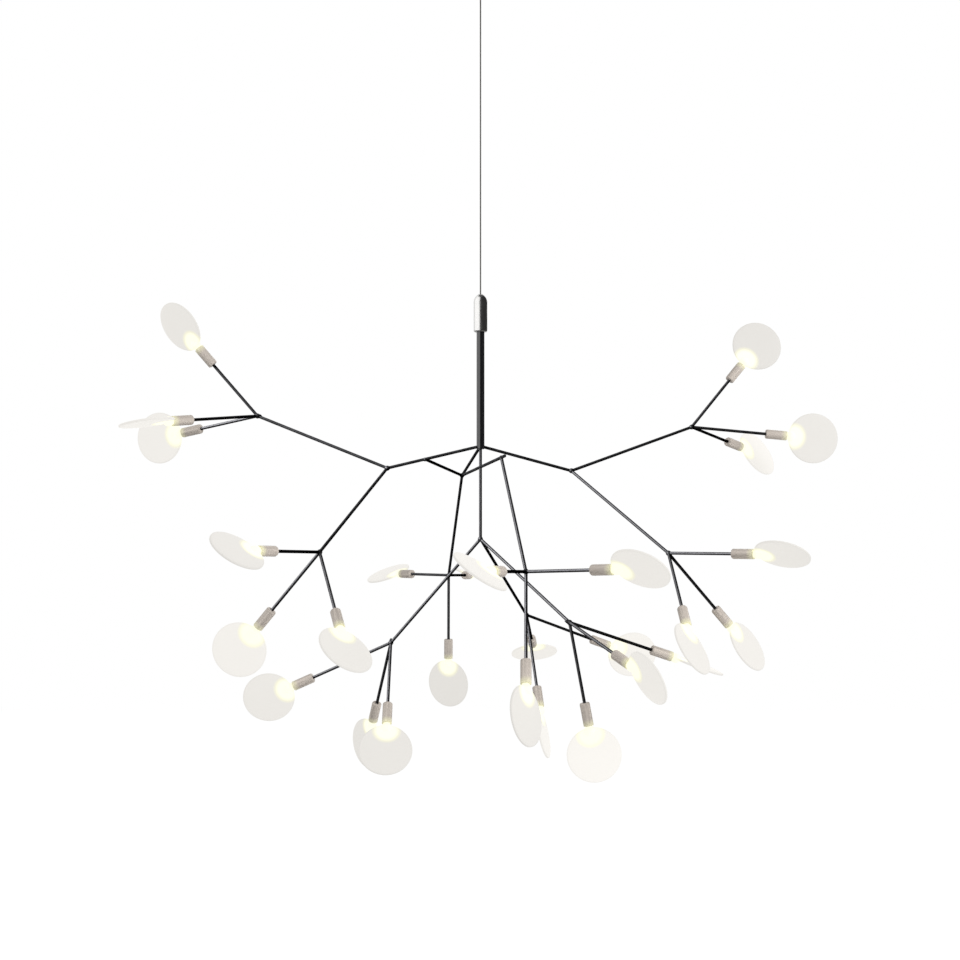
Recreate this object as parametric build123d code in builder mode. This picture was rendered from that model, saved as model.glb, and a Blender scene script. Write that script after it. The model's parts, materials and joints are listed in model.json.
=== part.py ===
"""Branching LED chandelier on one taut cable.

Nine twigs of thin welded rod spread from a hub under a short stem. Every twig carries three stalks, and every
stalk ends in a sleeve with a small light source and a round flat lens that turns in the sleeve.
Millimetres, +Z up. The origin is the middle of the ceiling plate's top face, so everything hangs below z = 0.
"""
from build123d import *
from math import cos, radians, sin
from typing import NamedTuple
import os

# Clearances
weld_gap = 0.02
seat_gap = 0.05
turn_gap = 0.05

# Ceiling fitting
canopy_d = 110.0
canopy_wall = 1.2
canopy_edge_r = 6.0
plate_clearance = 3.8
plate_width = 22.0
plate_t = 2.0
plate_ear = 15.0
plate_corner_r = 4.0
ceiling_slot_margin = 10.0
ceiling_slot_length = 10.0
ceiling_slot_width = 4.5
driver_length = 62.0
driver_width = 24.0
driver_h = 16.0
driver_corner_r = 3.0
driver_edge_r = 1.0
driver_clearance = 0.8
side_screw_d = 4.0
side_screw_head_d = 7.5
side_screw_head_h = 3.5
side_screw_height = 9.0
side_screw_reach = 3.0
gland_drop = 12.0
gland_flange_d = 12.0
gland_flange_h = 3.0
gland_tip_d = 5.0
gland_thread_d = 8.0
gland_nut_h = 4.0
gland_nut_flats = 12.0

# Cable and the sleeves crimped on its two ends
cable_d = 1.4
cable_free = 320.0
cable_stop_d = 5.0
cable_stop_h = 6.0
cable_hole_gap = 0.2

# Cap and stem
cap_d = 13.8
cap_h = 38.5
cap_nose_h = 8.5
cap_nose_d = 4.0
cap_chamfer = 1.0
cap_stem_seat = 12.0
cap_chamber_d = 6.4
cap_chamber_h = 10.0
stem_d = 8.0
stem_bore = 5.0
stem_free = 115.0

# Hub plug in the stem's lower end
plug_above_hub = 4.0
plug_below_hub = 3.2
plug_spigot = 10.0
arm_root = 2.2
drop_root = 0.6

# Rods
rod_d = 3.0
knot_d = 4.8
arm_length = 97.0
arm_droop = 14.0
arm_turn = 12.0
drop_length = 93.0
front_arm_drop = 21.0
front_arm_length = 94.0
front_arm_rise = 1.5
front_arm_overrun = 14.0
tie_reach = 58.0
branch_length = 140.0

# Sleeve, light source and lens, measured along the stalk from the sleeve's rear end
sleeve_d = 9.6
sleeve_length = 22.0
sleeve_tail_d = 8.4
sleeve_tail = 0.8
sleeve_lip = 0.5
stalk_seat = 9.0
web_t = 3.0
wire_hole_d = 1.2
board_t = 1.0
board_d = 6.2
emitter_d = 2.6
emitter_h = 1.2
neck_d = 6.5
neck_gap = 0.4
bead_d = 7.1
bead_w = 1.2
bead_offset = 0.8
leaf_d = 52.0
leaf_t = 2.6
leaf_edge_r = 1.0
leaf_standoff = 2.0
dome_d = 9.0
dome_reach = 4.5


class Leaf(NamedTuple):
    """One stalk with its leaf: stalk length to the sleeve, heading, slope, and the disc's turn on the stalk."""
    stalk: float
    azimuth: float
    elevation: float
    roll: float


class Twig(NamedTuple):
    """One branch rod: the node it starts from, its heading and slope in degrees, and its three leaves."""
    start: str
    azimuth: float
    elevation: float
    leaves: tuple


# Headings run from +X towards +Y, slopes are above level. No two stalks leave their knot alike.
twigs = {
    "left_upper": Twig("left", 177, 22, (Leaf(67, 185, 49, 126), Leaf(66, 158, -9, 176), Leaf(77, 224, -7, 96))),
    "right_upper": Twig("right", 15, 20, (Leaf(67, 18, 49, 163), Leaf(78, 3, -5, 2), Leaf(57, 40, -12, 152))),
    "left_lower": Twig("left", 240, -37, (Leaf(62, 237, 0, 52), Leaf(72, 161, -48, 164), Leaf(82, 289, -40, 69))),
    "right_lower": Twig("right", -37, -37, (Leaf(67, -34, -1, 63), Leaf(72, -83, -46, 46), Leaf(72, 15, -48, 134))),
    "back": Twig("back", 100, -49, (Leaf(72, 127, 1, 66), Leaf(72, 92, -83, 124), Leaf(77, 77, 0, 109))),
    "front": Twig("front", -77, -50, (Leaf(72, -41, 1, 53), Leaf(57, -112, 0, 54), Leaf(82, -92, -66, 29))),
    "low_left": Twig("low", 165, -48, (Leaf(87, 174, -24, 159), Leaf(68, -91, -58, 85), Leaf(72, 117, -61, 166))),
    "low_back": Twig("low", 65, -34, (Leaf(77, 84, -21, 84), Leaf(81, -74, -65, 30), Leaf(77, 15, -20, 25))),
    "low_right": Twig("low", -43, -35, (Leaf(72, -56, -22, 28), Leaf(77, 17, -79, 17), Leaf(87, 16, -18, 99))),
}

# Which twigs share one group of sleeves
sleeve_groups = {
    "left": ("left_upper", "left_lower"),
    "right": ("right_upper", "right_lower"),
    "back": ("back",),
    "front": ("front",),
    "low": ("low_left", "low_back", "low_right"),
}

# The canopy is as deep as what is stacked in it, and the plate as long as fits between its walls
canopy_h = plate_t + driver_h + driver_clearance + cable_stop_h + gland_nut_h + canopy_wall
plate_length = canopy_d - 2 * (canopy_wall + plate_clearance)
ceiling_slot_spacing = plate_length - 2 * ceiling_slot_margin

# Heights, worked down from the ceiling
canopy_floor_z = -canopy_h
gland_tip_z = canopy_floor_z - gland_drop
cap_top_z = gland_tip_z - cable_free
cap_bottom_z = cap_top_z - cap_h
hub_z = cap_bottom_z - stem_free
stem_top_z = cap_bottom_z + cap_stem_seat
stem_end_z = hub_z + plug_above_hub
gland_top_z = canopy_floor_z + canopy_wall + gland_nut_h + seat_gap
upper_stop_z = gland_top_z + seat_gap
lower_stop_top_z = stem_top_z + cap_chamber_h - seat_gap
cable_hole_r = cable_d / 2 + cable_hole_gap

# Places along a sleeve
board_z = stalk_seat + web_t
emitter_z = board_z + board_t
neck_z = emitter_z + emitter_h + neck_gap
bead_z = neck_z + bead_offset
leaf_centre_z = sleeve_length + leaf_standoff + leaf_d / 2
socket_r = neck_d / 2 + turn_gap


def heading(azimuth, elevation):
    """Unit vector at a heading and a slope in degrees."""
    level = cos(radians(elevation))
    return Vector(level * cos(radians(azimuth)), level * sin(radians(azimuth)), sin(radians(elevation)))


def bar(start, along, length, root_r=0.0, knot=False, cuts=(), trims=()):
    """One rod turned about its own line.

    It begins flat at start, or hollowed to sit on a ball of radius root_r there, and ends flat or in a ball knot.
    The cuts are taken out of it, and of every trim plane it keeps the upper side.
    """
    rod_r = rod_d / 2
    side = Plane(origin=start, z_dir=along).x_dir
    with BuildPart() as rod:
        with BuildSketch(Plane(origin=start, x_dir=side, z_dir=side.cross(along))):
            with BuildLine():
                if root_r:
                    lip = (root_r**2 - rod_r**2) ** 0.5
                    RadiusArc((0, root_r), (rod_r, lip), root_r)
                else:
                    lip = 0.0
                    Line((0, 0), (rod_r, 0))
                if knot:
                    shoulder = length - ((knot_d / 2) ** 2 - rod_r**2) ** 0.5
                    end = length + knot_d / 2
                    ThreePointArc((rod_r, shoulder), (knot_d / 2, length), (0, end))
                else:
                    shoulder = length
                    end = length
                    Line((rod_r, shoulder), (0, end))
                Line((rod_r, lip), (rod_r, shoulder))
                Line((0, end), (0, root_r))
            make_face()
        revolve(axis=Axis(start, along))
        for cut in cuts:
            add(cut, mode=Mode.SUBTRACT)
        for trim in trims:
            split(bisect_by=trim, keep=Keep.TOP)
    return rod.part


def bar_cope(start, along, length):
    """The room that a rod and its weld gap take out of a rod that meets it."""
    with BuildPart() as cope:
        with BuildSketch(Plane(origin=start, z_dir=along)):
            Circle(rod_d / 2 + weld_gap)
        extrude(amount=length)
    return cope.part


def scarf(point, way, beside):
    """The flat along a rod running beside, where a rod leaving the same point at a small angle is cut to lie on it."""
    away = (way - beside * way.dot(beside)).normalized()
    return Plane(origin=point + away * (rod_d / 2 + weld_gap), x_dir=beside, z_dir=away)


def mitre(point, way, sibling):
    """The plane halfway between two rods that leave one knot, set off by half the weld gap."""
    away = (way - sibling).normalized()
    return Plane(origin=point + away * weld_gap / 2, z_dir=away)


def turned(*points):
    """A turned piece: the outline of half its section, as radius and height pairs, swung about the Z axis."""
    with BuildPart() as piece:
        with BuildSketch(Plane.XZ):
            with BuildLine():
                Polyline(*points, close=True)
            make_face()
        revolve(axis=Axis.Z)
    return piece.part


def keep(part, name):
    """Label a finished piece and write it."""
    part.label = name
    export_step(part, f"parts/{name}.step")


def keep_group(parts, name):
    """Write pieces that belong together as one node of separate solids."""
    keep(Compound(children=list(parts)), name)


os.makedirs("parts", exist_ok=True)

# Frame nodes: where the arms end and the twigs start
hub = Vector(0, 0, hub_z)
left_way = heading(180 + arm_turn, -arm_droop)
right_way = heading(arm_turn, -arm_droop)
back_way = heading(90 + arm_turn, -arm_droop)
front_way = heading(arm_turn - 90, front_arm_rise)
down = Vector(0, 0, -1)
crossing = hub + down * front_arm_drop
nodes = {
    "left": hub + left_way * arm_length,
    "right": hub + right_way * arm_length,
    "back": hub + back_way * arm_length,
    "front": crossing + front_way * front_arm_length,
    "low": hub + down * drop_length,
}

# Arms, each with a knot where its twigs start
arm_span = arm_length - arm_root
left_arm = bar(hub + left_way * arm_root, left_way, arm_span, knot=True)
right_arm = bar(hub + right_way * arm_root, right_way, arm_span, knot=True)
back_arm = bar(hub + back_way * arm_root, back_way, arm_span, knot=True)
drop_rod = bar(hub + down * drop_root, down, drop_length - drop_root, knot=True)
keep(left_arm, "left_arm")
keep(right_arm, "right_arm")
keep(back_arm, "back_arm")
keep(drop_rod, "drop_rod")

# The front arm springs from the drop rod and runs on past its twig
front_span = front_arm_length + front_arm_overrun
drop_cope = bar_cope(hub, down, drop_length)
front_arm = bar(crossing, front_way, front_span, cuts=(drop_cope,))
keep(front_arm, "front_arm")

# Two stays hold the back knot: one to the drop rod, one to the left arm
back_knot = nodes["back"]
strut_line = crossing - back_knot
tie_line = hub + left_way * tie_reach - back_knot
strut_way = strut_line.normalized()
tie_way = tie_line.normalized()
beside_back_arm = back_way * -1
knot_seat_r = knot_d / 2 + weld_gap
left_arm_cope = bar_cope(hub, left_way, arm_length)
back_strut = bar(
    back_knot,
    strut_way,
    strut_line.length,
    root_r=knot_seat_r,
    cuts=(drop_cope,),
    trims=(scarf(back_knot, strut_way, beside_back_arm),),
)
left_tie = bar(
    back_knot,
    tie_way,
    tie_line.length,
    root_r=knot_seat_r,
    cuts=(left_arm_cope,),
    trims=(scarf(back_knot, tie_way, beside_back_arm), scarf(back_knot, tie_way, strut_way)),
)
keep_group((back_strut, left_tie), "stay_rods")

# Twigs: a branch rod with a knot and three stalks seated on it, all mitred where they crowd each other
front_arm_cope = bar_cope(crossing, front_way, front_span)
leaf_seats = {}
for name, twig in twigs.items():
    start = nodes[twig.start]
    way = heading(twig.azimuth, twig.elevation)
    tip = start + way * branch_length
    if twig.start == "front":
        branch = bar(start, way, branch_length, knot=True, cuts=(front_arm_cope,))
    else:
        siblings = [other for other in twigs.values() if other.start == twig.start and other is not twig]
        mitres = [mitre(start, way, heading(other.azimuth, other.elevation)) for other in siblings]
        branch = bar(start, way, branch_length, root_r=knot_seat_r, knot=True, trims=mitres)
    pieces = [branch]
    leaf_seats[name] = []
    stalk_ways = [heading(leaf.azimuth, leaf.elevation) for leaf in twig.leaves]
    for leaf, stalk_way in zip(twig.leaves, stalk_ways):
        mitres = [mitre(tip, stalk_way, other) for other in stalk_ways if other is not stalk_way]
        stalk_end = leaf.stalk + stalk_seat - seat_gap
        pieces.append(bar(tip, stalk_way, stalk_end, root_r=knot_seat_r, trims=mitres))
        level_side = heading(leaf.azimuth + 90, 0)
        upper_side = stalk_way.cross(level_side)
        disc_normal = level_side * cos(radians(leaf.roll)) + upper_side * sin(radians(leaf.roll))
        sleeve_rear = tip + stalk_way * leaf.stalk
        leaf_seats[name].append(Plane(origin=sleeve_rear, x_dir=disc_normal, z_dir=stalk_way))
    keep_group(pieces, f"twig_{name}")

# Sleeve: stalk seat at the rear, light source on the web, lens neck and its bead in front
groove_r = bead_d / 2 + turn_gap
stalk_seat_r = rod_d / 2 + seat_gap
with BuildPart() as sleeve:
    with BuildSketch(Plane.XZ):
        with BuildLine():
            Polyline(
                (wire_hole_d / 2, stalk_seat),
                (stalk_seat_r, stalk_seat),
                (stalk_seat_r, 0),
                (sleeve_tail_d / 2, 0),
                (sleeve_d / 2, sleeve_tail),
                (sleeve_d / 2, sleeve_length - sleeve_lip),
                (sleeve_d / 2 - sleeve_lip, sleeve_length),
                (socket_r, sleeve_length),
                (socket_r, bead_z + bead_w + 2 * turn_gap),
                (groove_r, bead_z + bead_w + turn_gap),
                (groove_r, bead_z - turn_gap),
                (socket_r, bead_z - 2 * turn_gap),
                (socket_r, board_z),
                (wire_hole_d / 2, board_z),
                close=True,
            )
        make_face()
    revolve(axis=Axis.Z)

# Light source: a round board with a domed emitter
with BuildPart() as light_source:
    with BuildSketch(Plane.XY.offset(board_z + weld_gap)):
        Circle(board_d / 2)
    extrude(amount=board_t - weld_gap)
    with BuildSketch(Plane.XY.offset(emitter_z)):
        Circle(emitter_d / 2)
    extrude(amount=emitter_h)
    fillet(light_source.faces().sort_by(Axis.Z)[-1].edges(), emitter_h / 2)

# Lens: a flat round disc in line with its stalk, with a small dome at its root and a round neck with a snap bead
with BuildPart() as lens:
    with BuildSketch(Plane.YZ.offset(-leaf_t / 2)):
        with Locations((0, leaf_centre_z)):
            Circle(leaf_d / 2)
    extrude(amount=leaf_t)
    fillet(lens.edges().filter_by(GeomType.CIRCLE), leaf_edge_r)
    with Locations((0, 0, sleeve_length + dome_reach)):
        Sphere(dome_d / 2)
    with BuildSketch(Plane.XY.offset(neck_z)):
        Circle(neck_d / 2)
    extrude(amount=sleeve_length + dome_reach - neck_z)
    with BuildSketch(Plane.XY.offset(bead_z)):
        Circle(bead_d / 2)
    extrude(amount=bead_w)

all_seats = []
for group, members in sleeve_groups.items():
    group_seats = [seat for member in members for seat in leaf_seats[member]]
    all_seats += group_seats
    with BuildPart() as sleeves:
        with Locations(*group_seats):
            add(sleeve.part)
    keep(sleeves.part, f"sleeves_{group}")

with BuildPart() as light_sources:
    with Locations(*all_seats):
        add(light_source.part)
keep(light_sources.part, "light_sources")

for name, seats in leaf_seats.items():
    for number, seat in enumerate(seats, start=1):
        with BuildPart() as leaf_lens:
            with Locations(seat):
                add(lens.part)
        keep(leaf_lens.part, f"lens_{name}_{number}")

# Hub plug: a collar as wide as the stem, a spigot up the bore, and sockets for the three arms and the drop rod
with BuildPart() as hub_plug:
    with BuildSketch(Plane.XY.offset(hub_z - plug_below_hub)):
        Circle(stem_d / 2)
    extrude(amount=plug_below_hub + plug_above_hub - seat_gap)
    chamfer(hub_plug.faces().sort_by(Axis.Z)[0].edges(), plug_below_hub / 6)
    with BuildSketch(Plane.XY.offset(stem_end_z - seat_gap)):
        Circle(stem_bore / 2 - seat_gap)
    extrude(amount=plug_spigot)
    for way in (left_way, right_way, back_way):
        add(bar_cope(hub + way * (arm_root - seat_gap), way, arm_length), mode=Mode.SUBTRACT)
    add(bar_cope(hub + down * (drop_root - seat_gap), down, drop_length), mode=Mode.SUBTRACT)
keep(hub_plug.part, "hub_plug")

# Stem tube
with BuildPart() as stem_tube:
    with BuildSketch(Plane.XY.offset(stem_end_z)):
        Circle(stem_d / 2)
        Circle(stem_bore / 2, mode=Mode.SUBTRACT)
    extrude(amount=stem_top_z - stem_end_z - seat_gap)
keep(stem_tube.part, "stem_tube")

# Cap: a turned nickel sleeve with a rounded nose, a chamber for the cable's stop and a seat for the stem
cap_r = cap_d / 2
chamber_top_z = stem_top_z + cap_chamber_h
stem_seat_r = stem_d / 2 + seat_gap
with BuildPart() as stem_cap:
    with BuildSketch(Plane.XZ):
        with BuildLine():
            Polyline(
                (cap_nose_d / 2, cap_top_z),
                (cable_hole_r, cap_top_z),
                (cable_hole_r, chamber_top_z),
                (cap_chamber_d / 2, chamber_top_z),
                (cap_chamber_d / 2, stem_top_z),
                (stem_seat_r, stem_top_z),
                (stem_seat_r, cap_bottom_z),
                (cap_r - cap_chamfer, cap_bottom_z),
                (cap_r, cap_bottom_z + cap_chamfer),
                (cap_r, cap_top_z - cap_nose_h),
            )
            TangentArc((cap_r, cap_top_z - cap_nose_h), (cap_nose_d / 2, cap_top_z), tangent=(0, 1))
        make_face()
    revolve(axis=Axis.Z)
keep(stem_cap.part, "stem_cap")

# Cable stops: one crimped sleeve above the gland, one in the cap's chamber
stop_bore_r = cable_d / 2 + seat_gap
stop_places = (upper_stop_z, lower_stop_top_z - cable_stop_h)
with BuildPart() as cable_stops:
    for stop_z in stop_places:
        with BuildSketch(Plane.XY.offset(stop_z)):
            Circle(cable_stop_d / 2)
            Circle(stop_bore_r, mode=Mode.SUBTRACT)
        extrude(amount=cable_stop_h)
keep(cable_stops.part, "cable_stops")

# Cable: one straight run from stop to stop
cable_low_z = stop_places[1]
with BuildPart() as suspension_cable:
    with BuildSketch(Plane.XY.offset(cable_low_z)):
        Circle(cable_d / 2)
    extrude(amount=upper_stop_z + cable_stop_h - cable_low_z)
keep(suspension_cable.part, "suspension_cable")

# Gland: flange and tapered tip under the canopy, threaded shank through it, nut on top
flange_low_z = canopy_floor_z - gland_flange_h
cable_gland = turned(
    (cable_hole_r, gland_tip_z),
    (gland_tip_d / 2, gland_tip_z),
    (gland_thread_d / 2, flange_low_z),
    (gland_flange_d / 2, flange_low_z),
    (gland_flange_d / 2, canopy_floor_z),
    (gland_thread_d / 2, canopy_floor_z),
    (gland_thread_d / 2, gland_top_z),
    (cable_hole_r, gland_top_z),
)
keep(cable_gland, "cable_gland")

with BuildPart() as gland_nut:
    with BuildSketch(Plane.XY.offset(canopy_floor_z + canopy_wall)):
        RegularPolygon(gland_nut_flats / 2, 6, major_radius=False)
        Circle(gland_thread_d / 2 + seat_gap, mode=Mode.SUBTRACT)
    extrude(amount=gland_nut_h)
keep(gland_nut.part, "gland_nut")

# Canopy: a shallow spun cup, open towards the ceiling, with a hole for the gland and two for the side screws
screw_hole_r = side_screw_d / 2 + 2 * seat_gap
with BuildPart() as canopy:
    with BuildSketch(Plane.XY.offset(canopy_floor_z)):
        Circle(canopy_d / 2)
    extrude(amount=canopy_h)
    fillet(canopy.faces().sort_by(Axis.Z)[0].edges(), canopy_edge_r)
    offset(amount=-canopy_wall, openings=canopy.faces().sort_by(Axis.Z)[-1])
    with BuildSketch(Plane.XY.offset(canopy_floor_z)):
        Circle(gland_thread_d / 2 + seat_gap)
    extrude(amount=canopy_wall, mode=Mode.SUBTRACT)
    with BuildSketch(Plane.YZ):
        with Locations((0, -side_screw_height)):
            Circle(screw_hole_r)
    extrude(amount=canopy_d, both=True, mode=Mode.SUBTRACT)
keep(canopy.part, "canopy")

# Ceiling plate: a strap with two slots and two ears bent down to take the side screws
ear_x = plate_length / 2
with BuildPart() as ceiling_plate:
    with BuildSketch(Plane.XY.offset(-plate_t)):
        Rectangle(plate_length, plate_width)
        with GridLocations(ceiling_slot_spacing, 0, 2, 1):
            SlotOverall(ceiling_slot_length, ceiling_slot_width, mode=Mode.SUBTRACT)
    extrude(amount=plate_t)
    with BuildSketch(Plane.XY.offset(-plate_ear)):
        with GridLocations(plate_length - plate_t, 0, 2, 1):
            Rectangle(plate_t, plate_width)
    extrude(amount=plate_ear)
    fillet(ceiling_plate.edges().filter_by(Axis.X).group_by(Axis.Z)[0], plate_corner_r)
    with BuildSketch(Plane.YZ):
        with Locations((0, -side_screw_height)):
            Circle(side_screw_d / 2 + seat_gap)
    extrude(amount=plate_length, both=True, mode=Mode.SUBTRACT)
keep(ceiling_plate.part, "ceiling_plate")

# Side screws: a round head outside the canopy and a shank through the ear
shank_inner = ear_x - plate_t - side_screw_reach
head_seat = canopy_d / 2
with BuildPart() as canopy_screws:
    with BuildSketch(Plane.YZ.offset(shank_inner)):
        with Locations((0, -side_screw_height)):
            Circle(side_screw_d / 2)
    extrude(amount=head_seat - shank_inner)
    with BuildSketch(Plane.YZ.offset(head_seat)):
        with Locations((0, -side_screw_height)):
            Circle(side_screw_head_d / 2)
    extrude(amount=side_screw_head_h)
    chamfer(canopy_screws.faces().sort_by(Axis.X)[-1].edges(), side_screw_head_h / 6)
    mirror(about=Plane.YZ)
keep(canopy_screws.part, "canopy_screws")

# Driver: the low-voltage supply, screwed up against the plate
with BuildPart() as led_driver:
    with BuildSketch(Plane.XY.offset(-plate_t - driver_h)):
        RectangleRounded(driver_length, driver_width, driver_corner_r)
    extrude(amount=driver_h - weld_gap)
    fillet(led_driver.faces().sort_by(Axis.Z)[0].edges(), driver_edge_r)
keep(led_driver.part, "led_driver")
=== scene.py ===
"""Looks of the branching chandelier: opal leaves, lamp sleeves, weld knots, cable, finishes and stage."""

import json
import math

import bpy
import numpy as np
from bpy.props import FloatProperty, FloatVectorProperty, IntProperty, PointerProperty
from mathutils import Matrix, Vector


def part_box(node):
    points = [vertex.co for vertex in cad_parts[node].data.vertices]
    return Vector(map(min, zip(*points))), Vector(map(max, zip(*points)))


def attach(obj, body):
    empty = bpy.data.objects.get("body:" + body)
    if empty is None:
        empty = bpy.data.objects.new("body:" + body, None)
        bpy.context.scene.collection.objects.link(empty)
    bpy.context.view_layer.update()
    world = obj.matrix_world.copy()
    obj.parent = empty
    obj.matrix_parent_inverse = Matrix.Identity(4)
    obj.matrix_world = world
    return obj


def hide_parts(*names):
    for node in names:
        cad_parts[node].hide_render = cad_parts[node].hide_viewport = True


bl_info = {
    "name": "Branching Chandelier",
    "version": (1, 0, 0),
    "blender": (4, 5, 0),
    "location": "3D View > Sidebar > Chandelier",
    "description": "Dresses a branching pendant lamp in its leaves, sleeves, welds, finishes and stage",
    "category": "Object",
}

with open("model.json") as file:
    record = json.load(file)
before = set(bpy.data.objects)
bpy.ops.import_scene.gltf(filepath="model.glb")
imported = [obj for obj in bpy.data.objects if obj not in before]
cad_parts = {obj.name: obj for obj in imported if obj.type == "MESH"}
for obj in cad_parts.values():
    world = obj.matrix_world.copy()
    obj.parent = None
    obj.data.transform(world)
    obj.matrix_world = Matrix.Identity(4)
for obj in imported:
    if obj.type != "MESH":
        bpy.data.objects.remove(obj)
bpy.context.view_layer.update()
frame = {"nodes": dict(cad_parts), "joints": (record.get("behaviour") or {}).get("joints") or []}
TWIGS = (
    "left_upper", "right_upper", "left_lower", "right_lower", "back", "front",
    "low_left", "low_back", "low_right",
)
# The numbers of the stalks, and so of the leaves, on a twig
STALKS = (1, 2, 3)
SLEEVE_GROUPS = {
    "left": ("left_upper", "left_lower"),
    "right": ("right_upper", "right_lower"),
    "back": ("back",),
    "front": ("front",),
    "low": ("low_left", "low_back", "low_right"),
}
# Welds along the frame: their size next to a knot's, and what the rods there lead to. A weld's own name
# among these stands for the twig of that name
WELDS = {
    "left": (1.0, ("hub", "left_upper", "left_lower")),
    "right": (1.0, ("hub", "right_upper", "right_lower")),
    "back": (1.0, ("hub", "crossing", "tie", "back")),
    "low": (1.0, ("hub", "low_left", "low_back", "low_right")),
    "front": (0.75, ("crossing", "front_end", "front")),
    "crossing": (0.75, ("hub", "low", "front", "back")),
    "tie": (0.75, ("hub", "left", "back")),
}
# Twigs on which one stalk runs on past its knot, by the stalk's number
STUBS = {"left_upper": 3, "low_left": 2, "low_right": 3}
# Lamps whose discs are lit weaker or stronger than the rest
LAMP_LEVELS = {
    "left_upper_2": 1.06, "left_upper_3": 1.06, "left_lower_1": 0.92, "left_lower_2": 1.1,
    "right_upper_1": 0.87, "right_upper_2": 0.94, "right_upper_3": 1.12, "back_2": 0.94,
    "front_1": 1.04, "front_3": 0.92, "low_left_2": 0.95, "low_left_3": 0.95,
    "low_back_1": 1.1, "low_back_2": 1.09, "low_back_3": 1.1, "low_right_1": 1.06, "low_right_2": 1.16,
}
ROD_NODES = ["left_arm", "right_arm", "back_arm", "drop_rod", "front_arm", "stay_rods"]
ROD_NODES += [f"twig_{twig}" for twig in TWIGS]
# The collection of the pieces that show the sheen lamp
SHEEN_ON = "rods_and_welds"

# How fine the meshes are
ARC_STEPS = 5
NECK_ROWS = 18
SLEEVE_COLUMNS = 40
BEAD_ROWS, BEAD_COLUMNS = 22, 32
CARD_STEPS = 32

# Half a corner's angle in radians, past which the corner counts as straight
STRAIGHT = 1.56
# What is left open round a leaf's tip and a weld's poles, in radians, before one point closes it
TIP_GAP = 0.02
POLE_GAP = 0.05
# How much a leaf's columns crowd towards the stalk's line
CROWDING = 0.25
# Power of the superellipse that rounds a leaf's rim
RIM_POWER = 6
# Where the lit spot's even core ends and where its halo is, as shares of its radius
GLOW_CORE, GLOW_HALO = 0.6, 0.84
# Where a leaf's rim begins to dim, as a share of its radius, and to what share of its light
RIM_START, RIM_LIGHT = 0.94, 0.93
# Where a sleeve's socket ends, as a share of its length from the rear
SOCKET_END = 0.62
# How far a weld stands over its ball in metres, and how closely its webs keep to their rods
WELD_SKIN = 0.00015
WEB_FOCUS = 11.0
# How many wires the cable has, and how many radians their wave moves on over a metre
WIRES = 6.0
TWIST = 1400.0
# The span that noise mostly fills
NOISE_SPAN = (0.3, 0.7)

# Rise of the camera's line of sight over its run
SIGHT_RISE = 94 / 1500
# The cards that gloss shows: sizes in metres (half a side for the level ones), angles in degrees from the
# camera's side, and how bright the dark ones are
CARD_RADIUS = 2.2
CARD_LOW, CARD_HIGH = -3.0, 4.5
BRIGHT_START, DARK_START, DARK_END = -110.0, -14.0, 150.0
LID_EDGE = 2.3
BASE_LIFT = 0.05
DARK_CARD, DARK_LID = 0.03, 0.1
# Half the floor's side in metres, and the light that makes it show near white
FLOOR_EDGE = 8.0
FLOOR_GLOW = 0.6
WHITE = (1.0, 1.0, 1.0, 1.0)


# Settings that a user would change

def length(name, description, default):
    """A length setting in metres."""
    return FloatProperty(
        name=name, description=description, default=default, unit="LENGTH", precision=5, min=0.0
    )


def position(name, description, default):
    """A coordinate setting in metres."""
    return FloatProperty(name=name, description=description, default=default, unit="LENGTH", precision=5)


def power(name, description, default):
    """A setting of a lamp's power in watts."""
    return FloatProperty(name=name, description=description, default=default, unit="POWER", min=0.0)


def amount(name, description, default):
    """A setting that is a plain number."""
    return FloatProperty(name=name, description=description, default=default, min=0.0)


def colour(name, description, default):
    """A colour setting, linear red, green and blue."""
    return FloatVectorProperty(
        name=name, description=description, default=default, size=3, subtype="COLOR", min=0.0, max=1.0
    )


class LeafSettings(bpy.types.PropertyGroup):
    """Sizes of one opal leaf, along its stalk from the sleeve's rear end, and its colours."""

    radius: length("Radius", "Radius of the round disc", 0.026)
    thickness: length("Thickness", "Thickness of the disc at its middle", 0.0026)
    neck_radius: length("Neck radius", "Radius of the round neck in the sleeve", 0.00325)
    neck_start: length("Neck start", "Where the neck begins inside the sleeve", 0.0146)
    neck_end: length("Neck end", "Where the neck leaves the sleeve", 0.022)
    rim_start: length("Rim start", "Where the disc's rim begins", 0.024)
    root_end: length("Root end", "Where the flare of the neck has run out into the disc", 0.036)
    dome_centre: length("Dome centre", "Middle of the dome at the disc's root", 0.0265)
    dome_radius: length("Dome radius", "Radius of the dome at the disc's root", 0.0045)
    glow_centre: length("Glow centre", "Where the lit spot is brightest", 0.0300)
    glow_radius: length("Glow radius", "Radius of the lit spot with its halo, along the stalk", 0.0135)
    glow_spread: FloatProperty(
        name="Glow spread",
        description="How many times as wide as long the lit spot is",
        default=1.12,
        min=0.1,
    )
    rows: IntProperty(name="Rows", description="Grid rows along the leaf", default=90, min=40)
    columns: IntProperty(name="Columns", description="Grid columns around the leaf", default=80, min=16)
    tint: colour("Opal", "Colour of the frosted plastic", (0.16, 0.157, 0.152))
    lit: colour("Lit", "Light that the whole disc gives off", (0.70, 0.68, 0.645))
    glow: colour("Glow", "Light of the spot at the root", (1.0, 0.99, 0.77))
    halo: colour("Halo", "Light at the spot's edge", (0.80, 0.78, 0.61))


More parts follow.
